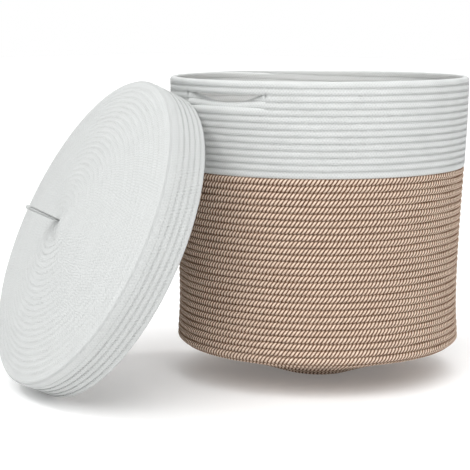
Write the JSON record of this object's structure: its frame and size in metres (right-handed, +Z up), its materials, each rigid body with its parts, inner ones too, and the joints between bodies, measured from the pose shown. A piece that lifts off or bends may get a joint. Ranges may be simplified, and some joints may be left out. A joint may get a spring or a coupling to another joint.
{
  "type": "laundry hamper with lid",
  "caption": "Round coiled-rope laundry hamper with brown lower wall, white upper wall, two slot handles and a domed lift-off coiled lid leaning on its side.",
  "frame": {"origin": "middle of the basket's resting patch, on the floor under the basket's axis", "axes": "+Z up along the basket's axis; the two handle openings face -Y and +Y; the lid leans on the -Y side, turned a little towards -X"},
  "size_m": [0.5478, 0.6144, 0.4009],
  "materials": {
    "brown_rope": "matte twisted cotton rope, three brown and three cream strands",
    "white_rope": "matte braided cotton rope, off-white",
    "brown_thread": "matte sewing thread, tan",
    "white_thread": "matte sewing thread, off-white",
    "webbing": "matte woven cotton webbing, off-white"
  },
  "bodies": {
    "basket": {"base_coil": "brown_rope", "base_seam_thread": "brown_thread", "lower_wall_coil": "brown_rope", "lower_wall_seam_thread": "brown_thread", "upper_wall_coil": "white_rope", "upper_wall_seam_thread": "white_thread", "grip_coil": "white_rope", "grip_seam_thread": "white_thread", "handle_bar_tacks": "white_thread"},
    "lid": {"lid_top_coil": "white_rope", "lid_top_seam_thread": "white_thread", "lid_skirt_coil": "white_rope", "lid_skirt_seam_thread": "white_thread", "tab_tails": "webbing", "tab_stitching": "white_thread"},
    "pull_tab": {"lid_pull_tab": "webbing"}
  },
  "joints": [
    {"name": "lid_lift", "type": "slide", "parent": "basket", "child": "lid", "axis": [-0.3425, -0.831, 0.4384], "range_m": [0, 0.3]},
    {"name": "tab_bend", "type": "hinge", "parent": "lid", "child": "pull_tab", "pos_m": [-0.16457, -0.32887, 0.22468], "axis": [0.9245, -0.3811, 0], "range_deg": [-75, 75], "stiffness_Nm_per_rad": 0.01}
  ]
}
